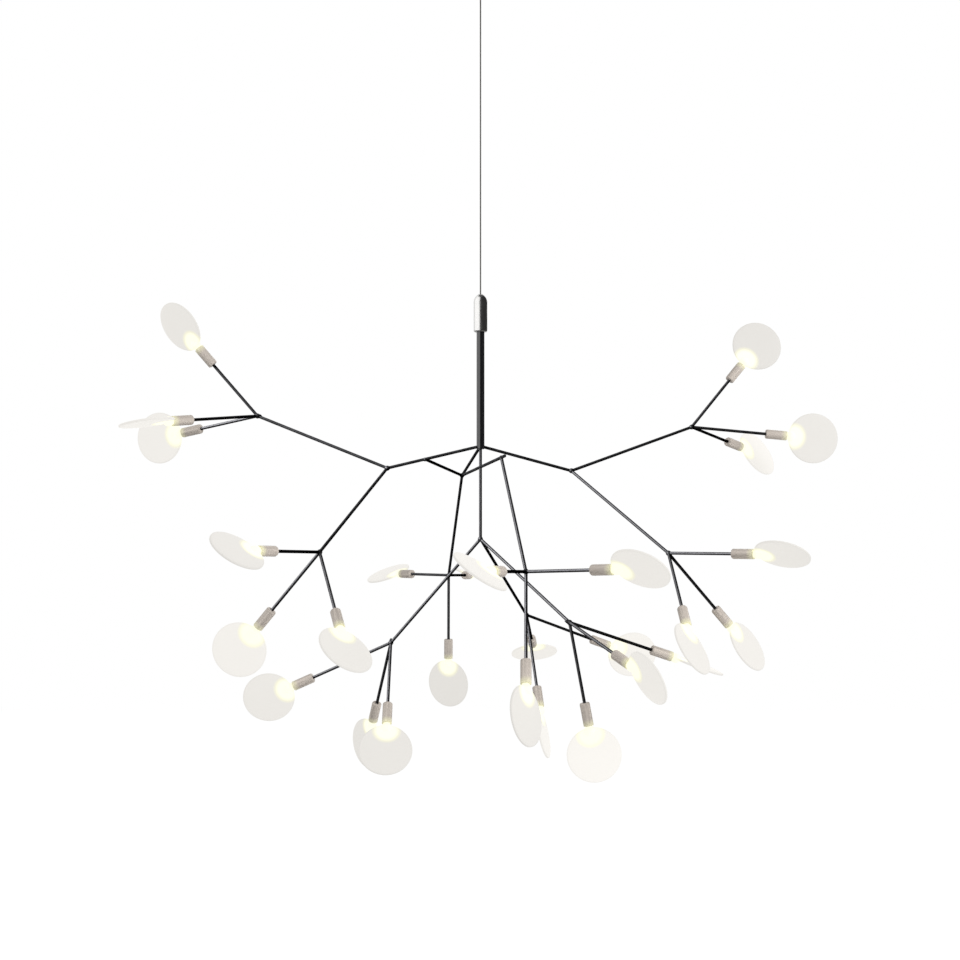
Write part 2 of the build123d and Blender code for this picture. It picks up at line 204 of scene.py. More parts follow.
class SleeveSettings(bpy.types.PropertyGroup):
    """Sizes and colours of the lamp sleeves."""

    radius: length("Radius", "Outer radius of the sleeve", 0.0048)
    tail_radius: length("Tail radius", "Outer radius at the rear end", 0.0042)
    tail: length("Tail", "Length of the bevelled tail", 0.0008)
    stalk_radius: length("Stalk bore", "Radius of the bore around the stalk", 0.00155)
    socket_radius: length("Socket", "Radius of the bore around the lens neck", 0.0033)
    span: length("Length", "Length of the sleeve", 0.022)
    tint: colour("Sleeve", "Colour of the satin sleeve", (0.585, 0.525, 0.47))
    # Painted lamp light: the colour and length of the sleeve's warm, faintly glowing lit end
    painted_light_tint: colour("Lit end", "Colour of the end that the lamp lights", (0.72, 0.69, 0.48))
    painted_light_span: length("Lit length", "How far the lamp lights the sleeve's end", 0.0065)


class RodSettings(bpy.types.PropertyGroup):
    """Sizes of the rods' welds, and colours of the rods, the stem and its cap."""

    knot_radius: length("Knot radius", "Radius of the ball where rods are welded", 0.0024)
    web: length("Web", "How far the weld runs out along each rod", 0.0014)
    stub: length("Stub", "How far a stalk runs on past its knot", 0.0026)
    overrun: length("Overrun", "How far the front arm runs on past its weld", 0.014)
    tie_reach: length("Tie reach", "From the hub to the tie's weld on the left arm", 0.058)
    tint: colour("Rod", "Colour of the rods' blackened metal", (0.017, 0.017, 0.018))
    stem_tint: colour("Stem", "Colour of the stem's coating", (0.006, 0.006, 0.007))
    cap_tint: colour("Cap", "Colour of the stem's nickel cap", (0.66, 0.655, 0.645))


class CableSettings(bpy.types.PropertyGroup):
    """Size and colour of the suspension cable."""

    diameter: length("Diameter", "Diameter of the cable", 0.0014)
    tint: colour("Cable", "Colour of the cable", (0.12, 0.118, 0.105))


class FittingSettings(bpy.types.PropertyGroup):
    """Colours of the ceiling fitting and of the pieces inside."""

    canopy_tint: colour("Canopy", "Colour of the canopy's coating", (0.016, 0.016, 0.018))
    steel_tint: colour("Steel", "Colour of the plain steel", (0.52, 0.52, 0.52))
    driver_tint: colour("Driver", "Colour of the driver's case", (0.72, 0.72, 0.70))
    board_tint: colour("Board", "Colour of the light sources' boards", (0.9, 0.85, 0.7))


class StageSettings(bpy.types.PropertyGroup):
    """Camera and light."""

    distance: length("Distance", "Camera to the lamp's axis", 1.5)
    side: position("Side", "Camera offset towards the right", -0.0005)
    height: position("Height", "Camera height", -0.6435)
    pitch: FloatProperty(
        name="Pitch", description="Upward tilt of the camera", default=math.atan(SIGHT_RISE), subtype="ANGLE"
    )
    lens: FloatProperty(
        name="Lens", description="Focal length on a 36 mm sensor", default=56.36, min=1.0, unit="CAMERA"
    )
    ambient: amount("Ambient", "Strength of the even light", 0.45)
    key: power("Key", "Power of the large lamp", 46.0)
    sheen: power("Sheen", "Power of the lamp that rods and welds alone show", 430.0)
    card: amount("Card", "Strength of the bright card that gloss shows", 1.5)
    floor_height: position("Floor", "Height of the floor", -1.5)


class ChandelierSettings(bpy.types.PropertyGroup):
    """All settings of the chandelier."""

    leaf: PointerProperty(type=LeafSettings, name="Leaf", description="The opal leaves")
    sleeve: PointerProperty(type=SleeveSettings, name="Sleeve", description="The lamp sleeves")
    rod: PointerProperty(type=RodSettings, name="Rods", description="The rods, welds, stem and cap")
    cable: PointerProperty(type=CableSettings, name="Cable", description="The suspension cable")
    fitting: PointerProperty(type=FittingSettings, name="Fitting", description="The ceiling fitting")
    stage: PointerProperty(type=StageSettings, name="Stage", description="Camera and light")


# Reading the frame

def unit(vectors):
    """Vectors divided by their lengths."""
    return vectors / np.linalg.norm(vectors, axis=-1, keepdims=True)


def node_points(name):
    """The points of a CAD node, as rows."""
    mesh = frame["nodes"][name].data
    points = np.empty(len(mesh.vertices) * 3, np.float32)
    mesh.vertices.foreach_get("co", points)
    return points.reshape(-1, 3).astype(float)


def leaf_seat(twig, number):
    """A leaf's seat: its sleeve's rear point, and the ways across the disc, out of it and along the stalk.

    Point and stalk come from the leaf's own joint. Seen along the stalk, the lens node is widest across the
    disc, so that way is the main axis of its vertices' spread.
    """
    joint = next(j for j in frame["joints"] if j["name"] == f"turn_{twig}_{number}")
    rear = np.array(joint["pos_m"])
    along = unit(np.array(joint["axis"]))
    offsets = node_points(f"lens_{twig}_{number}") - rear
    offsets -= np.outer(offsets @ along, along)
    across = np.linalg.eigh(offsets.T @ offsets)[1][:, -1]
    across = unit(across - along * (across @ along))
    return rear, across, np.cross(along, across), along


def rod_ends(name):
    """The two ends of a straight rod on its middle line, the one nearer to the lamp's axis first."""
    points = node_points(name)
    middle = points.mean(0)
    along = np.linalg.eigh(np.cov((points - middle).T))[1][:, -1]
    spans = (points - middle) @ along
    ends = middle + np.outer((spans.min(), spans.max()), along)
    return ends[np.argsort(np.linalg.norm(ends[:, :2], axis=1) - ends[:, 2])]


def twig_knot(twig):
    """The point nearest to a twig's three stalk lines, and the stalks' directions."""
    joints = [j for j in frame["joints"] if j["name"].rsplit("_", 1)[0] == f"turn_{twig}"]
    points = np.array([j["pos_m"] for j in joints])
    ways = unit(np.array([j["axis"] for j in joints]))
    across = np.eye(3) - ways[:, :, None] * ways[:, None, :]
    return np.linalg.solve(across.sum(0), np.einsum("kij,kj->i", across, points)), ways


# Making meshes

def grid_faces(rows, columns, wrap_rows=False):
    """Quads of a grid whose columns close up, as vertex numbers; the rows close up too if asked."""
    row = np.arange(rows if wrap_rows else rows - 1)[:, None]
    column = np.arange(columns)[None, :]
    after = (column + 1) % columns
    here, below = row * columns, (row + 1) % rows * columns
    quads = (here + column, here + after, below + after, below + column)
    return np.stack(np.broadcast_arrays(*quads), -1).reshape(-1, 4)


def capped_faces(rows, columns):
    """Faces of a tube of rows and columns: quads along it, and a fan to one more point at each end."""
    first, last = rows * columns, rows * columns + 1
    ring = np.arange(columns)
    after = (ring + 1) % columns
    base = (rows - 1) * columns
    start = np.stack((np.full(columns, first), after, ring), -1)
    end = np.stack((np.full(columns, last), base + ring, base + after), -1)
    return grid_faces(rows, columns).tolist() + start.tolist() + end.tolist()


def with_poles(points):
    """A tube's points, rows by columns, followed by the middles of its first and last rows."""
    return np.concatenate((points.reshape(-1, 3), points[0].mean(0)[None], points[-1].mean(0)[None]))


def add_piece(name, points, faces, body, finish):
    """A smooth mesh of the given points and faces, riding on a body."""
    mesh = bpy.data.meshes.new(name)
    mesh.from_pydata(points.tolist(), [], faces if isinstance(faces, list) else faces.tolist())
    mesh.polygons.foreach_set("use_smooth", np.ones(len(mesh.polygons), bool))
    mesh.materials.append(finish)
    mesh.update()
    piece = bpy.data.objects.new(name, mesh)
    bpy.context.scene.collection.objects.link(piece)
    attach(piece, body)
    return piece


def store(piece, name, values):
    """Keep a number or a vector for every point of a piece."""
    kind, key = ("FLOAT", "value") if values.ndim == 1 else ("FLOAT_VECTOR", "vector")
    stored = piece.data.attributes.new(name, kind, "POINT")
    stored.data.foreach_set(key, values.astype(np.float32).ravel())


def rounded_outline(corners):
    """A closed outline of corners given as radius, height and rounding, with an arc at every rounded corner.

    An arc touches both sides of its corner: its centre lies on the corner's bisector, and its points turn
    evenly from one side's normal to the other's.
    """
    places = np.array(corners)[:, :2]
    rounding = np.array(corners)[:, 2]
    outline = []
    for k, (place, r) in enumerate(zip(places, rounding)):
        to_last = unit(places[k - 1] - place)
        to_next = unit(places[(k + 1) % len(places)] - place)
        half = 0.5 * math.acos(np.clip(to_last @ to_next, -1, 1))
        if r == 0 or half > STRAIGHT:
            outline.append(place[None])
            continue
        centre = place + unit(to_last + to_next) * r / math.sin(half)
        a = place + to_last * r / math.tan(half) - centre
        b = place + to_next * r / math.tan(half) - centre
        t = np.linspace(0, 1, ARC_STEPS)[:, None]
        outline.append(centre + unit(a * (1 - t) + b * t) * r)
    return np.concatenate(outline)


def swung(outline, columns):
    """Points of a turned surface: every outline point, radius and height, carried once round the Z axis."""
    angle = np.linspace(0, 2 * math.pi, columns, endpoint=False)
    radius, height = outline[:, :1], outline[:, 1:]
    return np.stack((radius * np.cos(angle), radius * np.sin(angle), height + 0 * angle), -1)


def level_square(edge, height):
    """The corners of a level square about the lamp's axis, from half its side and its height."""
    return [(-edge, -edge, height), (edge, -edge, height), (edge, edge, height), (-edge, edge, height)]


# Finishes: noise scales are per metre, depths in metres

def new_finish(name):
    """An empty node material with one Principled shader: material, nodes, links, shader."""
    finish = bpy.data.materials.new(name)
    finish.use_nodes = True
    nodes, links = finish.node_tree.nodes, finish.node_tree.links
    return finish, nodes, links, nodes["Principled BSDF"]


def set_values(shader, values):
    """Set the shader's own sockets to values that are the same all over the surface."""
    for name, value in values.items():
        shader.inputs[name].default_value = value


def place_of(nodes):
    """Object coordinates, the piece's own frame."""
    return nodes.new("ShaderNodeTexCoord").outputs["Object"]


def stored_value(nodes, name, output="Fac"):
    """What the mesh stores at its points under a name."""
    stored = nodes.new("ShaderNodeAttribute")
    stored.attribute_name = name
    return stored.outputs[output]


def stretched(nodes, links, source, scale):
    """Coordinates multiplied by a scale for each axis."""
    mapping = nodes.new("ShaderNodeMapping")
    mapping.inputs["Scale"].default_value = scale
    links.new(source, mapping.inputs["Vector"])
    return mapping.outputs["Vector"]


def speckle(nodes, links, source, scale, detail=3.0):
    """Noise from 0 to 1 at a scale."""
    noise = nodes.new("ShaderNodeTexNoise")
    noise.inputs["Scale"].default_value = scale
    noise.inputs["Detail"].default_value = detail
    noise.inputs["Roughness"].default_value = 0.55
    links.new(source, noise.inputs["Vector"])
    return noise.outputs["Fac"]


def worked_out(nodes, links, operation, *values):
    """The result of one step of arithmetic on sockets and numbers."""
    step = nodes.new("ShaderNodeMath")
    step.operation = operation
    for port, value in zip(step.inputs, values):
        if isinstance(value, bpy.types.NodeSocket):
            links.new(value, port)
        else:
            port.default_value = value
    return step.outputs["Value"]


def spread(nodes, links, source, low, high, start=0.0, end=1.0):
    """A value carried from the span start to end into the span low to high."""
    ramp = nodes.new("ShaderNodeMapRange")
    for name, value in (("From Min", start), ("From Max", end), ("To Min", low), ("To Max", high)):
        ramp.inputs[name].default_value = value
    links.new(source, ramp.inputs["Value"])
    return ramp.outputs["Result"]


def between(nodes, links, factor, first, second):
    """A colour between two colours."""
    mix = nodes.new("ShaderNodeMix")
    mix.data_type = "RGBA"
    links.new(factor, mix.inputs["Factor"])
    for socket, value in (("A", first), ("B", second)):
        port = [i for i in mix.inputs if i.name == socket and i.type == "RGBA"][0]
        if isinstance(value, bpy.types.NodeSocket):
            links.new(value, port)
        else:
            port.default_value = (*value, 1.0)
    return [o for o in mix.outputs if o.type == "RGBA"][0]


def shade(tint, factor):
    """A colour made darker or lighter by a factor."""
    return tuple(min(1.0, c * factor) for c in tint)


def mottled(nodes, links, noise, tint, darkest, lightest):
    """A tint made darker and lighter by noise, between two factors."""
    return between(nodes, links, noise, shade(tint, darkest), shade(tint, lightest))


def vary_gloss(nodes, links, shader, noise, low, high):
    """Vary the shader's roughness by noise."""
    links.new(spread(nodes, links, noise, low, high, *NOISE_SPAN), shader.inputs["Roughness"])


def raised(nodes, links, shader, height, depth):
    """Bump of a depth from a height of 0 to 1."""
    bump = nodes.new("ShaderNodeBump")
    bump.inputs["Strength"].default_value = 1.0
    bump.inputs["Distance"].default_value = depth
    links.new(height, bump.inputs["Height"])
    links.new(bump.outputs["Normal"], shader.inputs["Normal"])


def coated_finish(name, tint, grain, depth, roughness=(0.34, 0.5), specular=0.2):
    """Satin powder coat: a fine orange-peel grain, a little unevenness of colour and of gloss."""
    finish, nodes, links, shader = new_finish(name)
    place = place_of(nodes)
    fine = speckle(nodes, links, place, scale=grain)
    broad = speckle(nodes, links, place, scale=90.0)
    colours = mottled(nodes, links, broad, tint, darkest=0.75, lightest=1.35)
    links.new(colours, shader.inputs["Base Color"])
    vary_gloss(nodes, links, shader, broad, *roughness)
    set_values(shader, {"Specular IOR Level": specular})
    raised(nodes, links, shader, fine, depth)
    return finish


def blackened_finish(name, tint, grain, depth):
    """Blackened metal: the coat's grain and unevenness, with a gloss that hardly grows towards the edge."""
    finish = coated_finish(name, tint, grain, depth, roughness=(0.5, 0.62))
    shader = finish.node_tree.nodes["Principled BSDF"]
    set_values(shader, {"Metallic": 1.0, "Specular Tint": (0.2, 0.2, 0.2, 1.0)})
    return finish


def turned_metal_finish(name, tint, roughness):
    """Metal with fine rings left by turning: noise drawn out along them moves colour and height."""
    finish, nodes, links, shader = new_finish(name)
    place = place_of(nodes)
    drawn_out = stretched(nodes, links, place, (60.0, 60.0, 5200.0))
    rings = speckle(nodes, links, drawn_out, scale=1.0, detail=2.0)
    broad = speckle(nodes, links, place, scale=70.0)
    colours = mottled(nodes, links, rings, tint, darkest=0.86, lightest=1.1)
    links.new(colours, shader.inputs["Base Color"])
    vary_gloss(nodes, links, shader, broad, *roughness)
    set_values(shader, {"Metallic": 1.0})
    raised(nodes, links, shader, rings, depth=0.000006)
    return finish


def opal_finish(settings):
    """Frosted opal plastic, lit from its root.

    The mesh stores each point's distance from the lit spot and from the disc's middle. The first picks the
    light from a ramp: the spot, its warm halo, the even light of the disc. The second dims the rim a little.
    The mesh also stores the level of its lamp.
    """
    finish, nodes, links, shader = new_finish("opal_leaf")
    place = place_of(nodes)
    cloud = speckle(nodes, links, place, scale=60.0)
    frost = speckle(nodes, links, place, scale=900.0, detail=2.0)
    colours = mottled(nodes, links, cloud, tuple(settings.tint), darkest=0.96, lightest=1.04)
    links.new(colours, shader.inputs["Base Color"])
    vary_gloss(nodes, links, shader, frost, low=0.4, high=0.55)
    set_values(shader, {"Specular IOR Level": 0.25})
    ramp = nodes.new("ShaderNodeValToRGB")
    stops = (
        (0.0, settings.glow),
        (GLOW_CORE, settings.glow),
        (GLOW_HALO, settings.halo),
        (1.0, settings.lit),
    )
    for _ in stops[2:]:
        ramp.color_ramp.elements.new(0.5)
    for element, (share, light) in zip(ramp.color_ramp.elements, stops):
        element.position = share
        element.color = (*light, 1.0)
    reach = stored_value(nodes, "light_reach")
    links.new(spread(nodes, links, reach, 0.0, 1.0, 0.0, settings.glow_radius), ramp.inputs["Fac"])
    links.new(ramp.outputs["Color"], shader.inputs["Emission Color"])
    rim = spread(nodes, links, stored_value(nodes, "rim_reach"), 1.0, RIM_LIGHT, RIM_START, 1.0)
    level = worked_out(nodes, links, "MULTIPLY", rim, stored_value(nodes, "lamp_level"))
    links.new(level, shader.inputs["Emission Strength"])
    return finish


def sleeve_finish(settings):
    """Satin sleeve with fine lengthwise streaks, warm at the end that its lamp lights.

    The mesh stores every point's place in its own sleeve. Noise drawn out along the sleeve gives the
    streaks, and the place along it blends in the lit end, which is painted lamp light: a warm colour in
    place of the sleeve's own and a faint glow, though the sleeve is no lamp.
    """
    finish, nodes, links, shader = new_finish("satin_sleeve")
    place = stored_value(nodes, "sleeve_place", "Vector")
    drawn_out = stretched(nodes, links, place, (380.0, 380.0, 16.0))
    streaks = speckle(nodes, links, drawn_out, scale=1.0)
    cloud = speckle(nodes, links, place_of(nodes), scale=110.0)
    brushed = mottled(nodes, links, streaks, tuple(settings.tint), darkest=0.62, lightest=1.38)
    along = nodes.new("ShaderNodeSeparateXYZ")
    links.new(place, along.inputs["Vector"])
    # Painted lamp light: towards the front end the colour turns warm and the sleeve glows faintly
    near = settings.span - settings.painted_light_span
    lit = spread(nodes, links, along.outputs["Z"], 0.0, 1.0, near, settings.span)
    links.new(between(nodes, links, lit, brushed, tuple(settings.painted_light_tint)), shader.inputs["Base Color"])
    vary_gloss(nodes, links, shader, cloud, low=0.4, high=0.55)
    set_values(shader, {"Metallic": 0.2, "Specular IOR Level": 0.2})
    # Painted glow of the lit end, though the sleeve is no lamp
    set_values(shader, {"Emission Color": (*settings.painted_light_tint, 1.0)})
    links.new(spread(nodes, links, lit, low=0.0, high=0.2), shader.inputs["Emission Strength"])
    return finish


def stranded_finish(settings):
    """Wire rope: wires wound round the Z axis, as a wave of the angle about it plus the height."""
    finish, nodes, links, shader = new_finish("stranded_cable")
    split = nodes.new("ShaderNodeSeparateXYZ")
    links.new(place_of(nodes), split.inputs["Vector"])
    angle = worked_out(nodes, links, "ARCTAN2", split.outputs["Y"], split.outputs["X"])
    turns = worked_out(nodes, links, "MULTIPLY", angle, WIRES)
    phase = worked_out(nodes, links, "MULTIPLY_ADD", split.outputs["Z"], TWIST, turns)
    wave = worked_out(nodes, links, "SINE", phase)
    height = spread(nodes, links, wave, 0.0, 1.0, start=-1.0, end=1.0)
    # Painted shade: the colour follows the wires' height, darker in the grooves between them and lighter on
    # their crests
    colours = mottled(nodes, links, height, tuple(settings.tint), darkest=0.6, lightest=1.25)
    links.new(colours, shader.inputs["Base Color"])
    set_values(shader, {"Metallic": 0.3, "Roughness": 0.42})
    raised(nodes, links, shader, height, depth=0.0001)
    return finish


def moulded_finish(name, tint, roughness):
    """Moulded plastic with a fine spark-eroded grain."""
    finish, nodes, links, shader = new_finish(name)
    grain = speckle(nodes, links, place_of(nodes), scale=1800.0)
    colours = mottled(nodes, links, grain, tint, darkest=0.94, lightest=1.04)
    links.new(colours, shader.inputs["Base Color"])
    set_values(shader, {"Roughness": roughness})
    raised(nodes, links, shader, grain, depth=0.00002)
    return finish


def paint(nodes, finish):
    """Give CAD nodes a finish."""
    for name in nodes:
        slots = frame["nodes"][name].material_slots
        if not slots:
            frame["nodes"][name].data.materials.append(finish)
        for slot in slots:
            slot.material = finish


# Operators

class CHANDELIER_OT_stage(bpy.types.Operator):
    """Set the camera at the photograph's angle, the floor, the lamps and a white surround"""

    bl_idname = "chandelier.stage"
    bl_label = "Stage"

    def execute(self, context):
        settings = context.scene.chandelier.stage
        context.scene.view_settings.view_transform = "Standard"
        self.camera(context.scene, settings)
        self.lamps(settings)
        self.upright_card("bright_card", BRIGHT_START, DARK_START, settings.card)
        self.upright_card("dark_card", DARK_START, DARK_END, DARK_CARD)
        self.flat_card("dark_lid", CARD_HIGH)
        self.flat_card("dark_base", settings.floor_height + BASE_LIFT)
        self.surround(context.scene, settings)
        self.floor(settings)
        return {"FINISHED"}

    @staticmethod
    def camera(scene, settings):
        """The camera, in front of the lamp and tilted up by its pitch."""
        camera = bpy.data.objects.new("camera", bpy.data.cameras.new("camera"))
        camera.data.lens = settings.lens
        camera.data.sensor_width = 36.0
        camera.data.clip_end = 50.0
        camera.location = (settings.side, -settings.distance, settings.height)
        camera.rotation_euler = (math.pi / 2 + settings.pitch, 0.0, 0.0)
        scene.collection.objects.link(camera)
        scene.camera = camera

    def lamps(self, settings):
        """The large lamp, which gloss doesn't show, and the sheen lamp, which only rods and welds show."""
        key = self.lamp(
            "key_lamp", settings.key, size=(1.2, 1.6), place=(1.7, -1.3, 0.2), tilt=66.0, turn=52.0
        )
        key.visible_glossy = False
        sheen = self.lamp(
            "sheen_lamp", settings.sheen, size=(0.5, 1.1), place=(-1.53, -0.81, 0.4), tilt=60.0, turn=-62.0
        )
        sheen.visible_diffuse = False
        rods = bpy.data.collections.new(SHEEN_ON)
        for name in ROD_NODES:
            rods.objects.link(frame["nodes"][name])
        sheen.light_linking.receiver_collection = rods

    @staticmethod
    def lamp(name, watts, size, place, tilt, turn):
        """A rectangular lamp at a place, tilted up from straight down and turned about Z, in degrees."""
        lamp = bpy.data.objects.new(name, bpy.data.lights.new(name, "AREA"))
        lamp.data.shape = "RECTANGLE"
        lamp.data.size, lamp.data.size_y = size
        lamp.data.energy = watts
        lamp.location = place
        lamp.rotation_euler = (math.radians(tilt), 0.0, math.radians(turn))
        bpy.context.scene.collection.objects.link(lamp)
        return lamp

    def upright_card(self, name, start, end, strength):
        """An upright curved card round the lamp, between two angles from the camera's side.

        Its points lie at the card's radius times (sin a, -cos a), so that angles grow towards +X.
        """
        angle = np.radians(np.linspace(start, end, CARD_STEPS + 1))
        curve = CARD_RADIUS * np.stack((np.sin(angle), -np.cos(angle)), -1)
        low, high = (np.insert(curve, 2, height, axis=1) for height in (CARD_LOW, CARD_HIGH))
        faces = [(k, k + 1, k + CARD_STEPS + 2, k + CARD_STEPS + 1) for k in range(CARD_STEPS)]
        self.card(name, np.concatenate((low, high)).tolist(), faces, strength)

    def flat_card(self, name, height):
        """A dark level card over or under the lamp."""
        self.card(name, level_square(LID_EDGE, height), [(0, 1, 2, 3)], DARK_LID)

    @staticmethod
    def card(name, points, faces, strength):
        """A card of a brightness that only gloss shows."""
        mesh = bpy.data.meshes.new(name)
        mesh.from_pydata(points, [], faces)
        finish, _, _, shader = new_finish(name)
        set_values(shader, {"Base Color": (0.01, 0.01, 0.01, 1.0), "Specular IOR Level": 0.0})
        set_values(shader, {"Emission Color": WHITE, "Emission Strength": strength})
        mesh.materials.append(finish)
        card = bpy.data.objects.new(name, mesh)
        bpy.context.scene.collection.objects.link(card)
        card.visible_camera = card.visible_diffuse = card.visible_transmission = card.visible_shadow = False

    def surround(self, scene, settings):
        """A world that is white where it is seen and gives the even light elsewhere."""
        world = scene.world or bpy.data.worlds.new("surround")
        scene.world = world
        world.use_nodes = True
        nodes, links = world.node_tree.nodes, world.node_tree.links
        nodes.clear()
        out = nodes.new("ShaderNodeOutputWorld")
        seen = nodes.new("ShaderNodeBackground")
        even = nodes.new("ShaderNodeBackground")
        even.inputs["Strength"].default_value = settings.ambient
        for background in (seen, even):
            background.inputs["Color"].default_value = WHITE
        mix = nodes.new("ShaderNodeMixShader")
        links.new(self.seen_share(nodes, links), mix.inputs["Fac"])
        links.new(even.outputs["Background"], mix.inputs[1])
        links.new(seen.outputs["Background"], mix.inputs[2])
        links.new(mix.outputs["Shader"], out.inputs["Surface"])

    @staticmethod
    def seen_share(nodes, links):
        """1 for rays that show the surround: from the camera, from gloss and through clear things."""
        path = nodes.new("ShaderNodeLightPath").outputs
        direct = worked_out(nodes, links, "MAXIMUM", path["Is Camera Ray"], path["Is Glossy Ray"])
        return worked_out(nodes, links, "MAXIMUM", direct, path["Is Transmission Ray"])

    def floor(self, settings):
        """A pale floor far below, which takes the shadow and shows near white."""
        mesh = bpy.data.meshes.new("floor")
        mesh.from_pydata(level_square(FLOOR_EDGE, settings.floor_height), [], [(0, 1, 2, 3)])
        finish, nodes, links, shader = new_finish("pale_floor")
        set_values(shader, {"Base Color": (0.9, 0.9, 0.9, 1.0), "Roughness": 0.9, "Specular IOR Level": 0.0})
        set_values(shader, {"Emission Color": WHITE})
        glow = worked_out(nodes, links, "MULTIPLY", self.seen_share(nodes, links), FLOOR_GLOW)
        links.new(glow, shader.inputs["Emission Strength"])
        mesh.materials.append(finish)
        floor = bpy.data.objects.new("floor", mesh)
        bpy.context.scene.collection.objects.link(floor)


class CHANDELIER_OT_cable(bpy.types.Operator):
    """Hang the stranded cable, one straight run from the stop in the cap to the stop in the canopy"""

    bl_idname = "chandelier.cable"
    bl_label = "Cable"

    def execute(self, context):
        settings = context.scene.chandelier.cable
        low, high = (end.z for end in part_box("suspension_cable"))
        curve = bpy.data.curves.new("cable", "CURVE")
        curve.dimensions = "3D"
        curve.bevel_depth = settings.diameter / 2
        curve.bevel_resolution = 4
        curve.use_fill_caps = True
        spline = curve.splines.new("NURBS")
        spline.points.add(2)
        for point, height in zip(spline.points, (low, (low + high) / 2, high)):
            point.co = (0.0, 0.0, height, 1.0)
        spline.order_u = 3
        spline.use_endpoint_u = True
        curve.materials.append(stranded_finish(settings))
        cable = bpy.data.objects.new("cable", curve)
        context.scene.collection.objects.link(cable)
        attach(cable, "lamp")
        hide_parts("suspension_cable")
        return {"FINISHED"}


class CHANDELIER_OT_leaves(bpy.types.Operator):
    """Make the opal leaves, each riding on its own turning body"""

    bl_idname = "chandelier.leaves"
    bl_label = "Leaves"

    def execute(self, context):
        settings = context.scene.chandelier.leaf
        finish = opal_finish(settings)
        local, reach, rim = self.surface(settings)
        faces = capped_faces(settings.rows, settings.columns)
        for twig in TWIGS:
            for number in STALKS:
                rear, across, out, along = leaf_seat(twig, number)
                points = rear + local @ np.stack((across, out, along))
                name = f"leaf_{twig}_{number}"
                leaf = add_piece(name, points, faces, name, finish)
                level = LAMP_LEVELS.get(f"{twig}_{number}", 1.0)
                levels = np.interp(reach / settings.glow_radius, (GLOW_CORE, 1.0), (1.0, level))
                store(leaf, "light_reach", reach)
                store(leaf, "rim_reach", rim)
                store(leaf, "lamp_level", levels)
                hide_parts(f"lens_{twig}_{number}")
        return {"FINISHED"}

    @staticmethod
    def surface(settings):
        """A leaf as sections along its stalk: points (across, out, along), how far each lies from the lit
        spot, and from the disc's middle as a share of the radius.

        The stub is round about the stalk's line: the neck, whose radius runs out to nothing in the disc,
        joined to the dome, a ball. Along the stalk the half width is the stub's radius joined to the disc's
        chord, and the half thickness is the stub's joined to the disc's. Every join is the cube root of the
        sum of cubes. The disc's half thickness falls to nothing at its rim as a superellipse of the sixth
        power. The columns crowd towards the stalk's line, where the stub is.
        """
        big, flat, neck = settings.radius, settings.thickness / 2, settings.neck_radius
        centre = settings.rim_start + big
        inside = np.linspace(settings.neck_start, settings.rim_start, NECK_ROWS, endpoint=False)
        sweep = np.linspace(0.0, math.pi, settings.rows - NECK_ROWS + 1)[1:]
        sweep[-1] = math.pi - TIP_GAP
        along = np.concatenate((inside, centre - big * np.cos(sweep)))[:, None]
        turn = np.linspace(0.0, 2 * math.pi, settings.columns, endpoint=False)[None, :]
        turn = turn + CROWDING * np.sin(2 * turn)
        fade = np.clip((along - settings.neck_end) / (settings.root_end - settings.neck_end), 0, 1)
        dome = np.sqrt(np.maximum(settings.dome_radius**2 - (along - settings.dome_centre) ** 2, 0))
        stub = np.cbrt((neck * (1 - fade * fade * (3 - 2 * fade))) ** 3 + dome**3)
        chord = np.sqrt(np.maximum(big**2 - (along - centre) ** 2, 0))
        width = np.cbrt(chord**3 + stub**3)
        radial = np.sqrt((chord * np.cos(turn)) ** 2 + (along - centre) ** 2) / big
        disc = flat * np.maximum(1 - np.minimum(radial, 1) ** RIM_POWER, 0) ** (1 / RIM_POWER)
        across = width * np.cos(turn)
        stub_height = np.sqrt(np.maximum(stub**2 - across**2, 0))
        height = np.cbrt(disc**3 + stub_height**3) * np.sign(np.round(np.sin(turn), 9))
        points = with_poles(np.stack((across, height, along + 0 * turn), -1))
        from_glow = (points - (0.0, 0.0, settings.glow_centre)) / (settings.glow_spread, 1.0, 1.0)
        rim = np.linalg.norm(points - (0.0, 0.0, centre), axis=1) / big
        return points, np.linalg.norm(from_glow, axis=1), rim


class CHANDELIER_OT_sleeves(bpy.types.Operator):
    """Turn the lamp sleeves, in the groups of the CAD part"""

    bl_idname = "chandelier.sleeves"
    bl_label = "Sleeves"

    def execute(self, context):
        settings = context.scene.chandelier.sleeve
        finish = sleeve_finish(settings)
        outline = self.outline(settings)
        local = swung(outline, SLEEVE_COLUMNS).reshape(-1, 3)
        faces = grid_faces(len(outline), SLEEVE_COLUMNS, wrap_rows=True)
        for group, twigs in SLEEVE_GROUPS.items():
            points = []
            for twig in twigs:
                for number in STALKS:
                    rear, across, out, along = leaf_seat(twig, number)
                    points.append(rear + local @ np.stack((across, out, along)))
            every = np.concatenate([faces + k * len(local) for k in range(len(points))])
            name = f"lamp_sleeves_{group}"
            piece = add_piece(name, np.concatenate(points), every, "lamp", finish)
            store(piece, "sleeve_place", np.tile(local, (len(points), 1)))
            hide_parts(f"sleeves_{group}")
        return {"FINISHED"}

    @staticmethod
    def outline(settings):
        """Half a sleeve's section: out from the stalk's bore, along tail and body, and into the socket."""
        outer, stalk, socket = settings.radius, settings.stalk_radius, settings.socket_radius
        end, deep = settings.span, settings.span * SOCKET_END
        # Roundings in metres, and where the bore's straight part begins
        slight, soft, broad = 0.0003, 0.0006, 0.0012
        mouth = 0.0006
        return rounded_outline((
            (stalk, mouth, 0.0),
            (stalk, 0.0, slight),
            (settings.tail_radius, 0.0, soft),
            (outer, settings.tail, broad),
            (outer, end, soft),
            (socket, end, slight),
            (socket, deep, 0.0),
            (stalk, deep, 0.0),
        ))


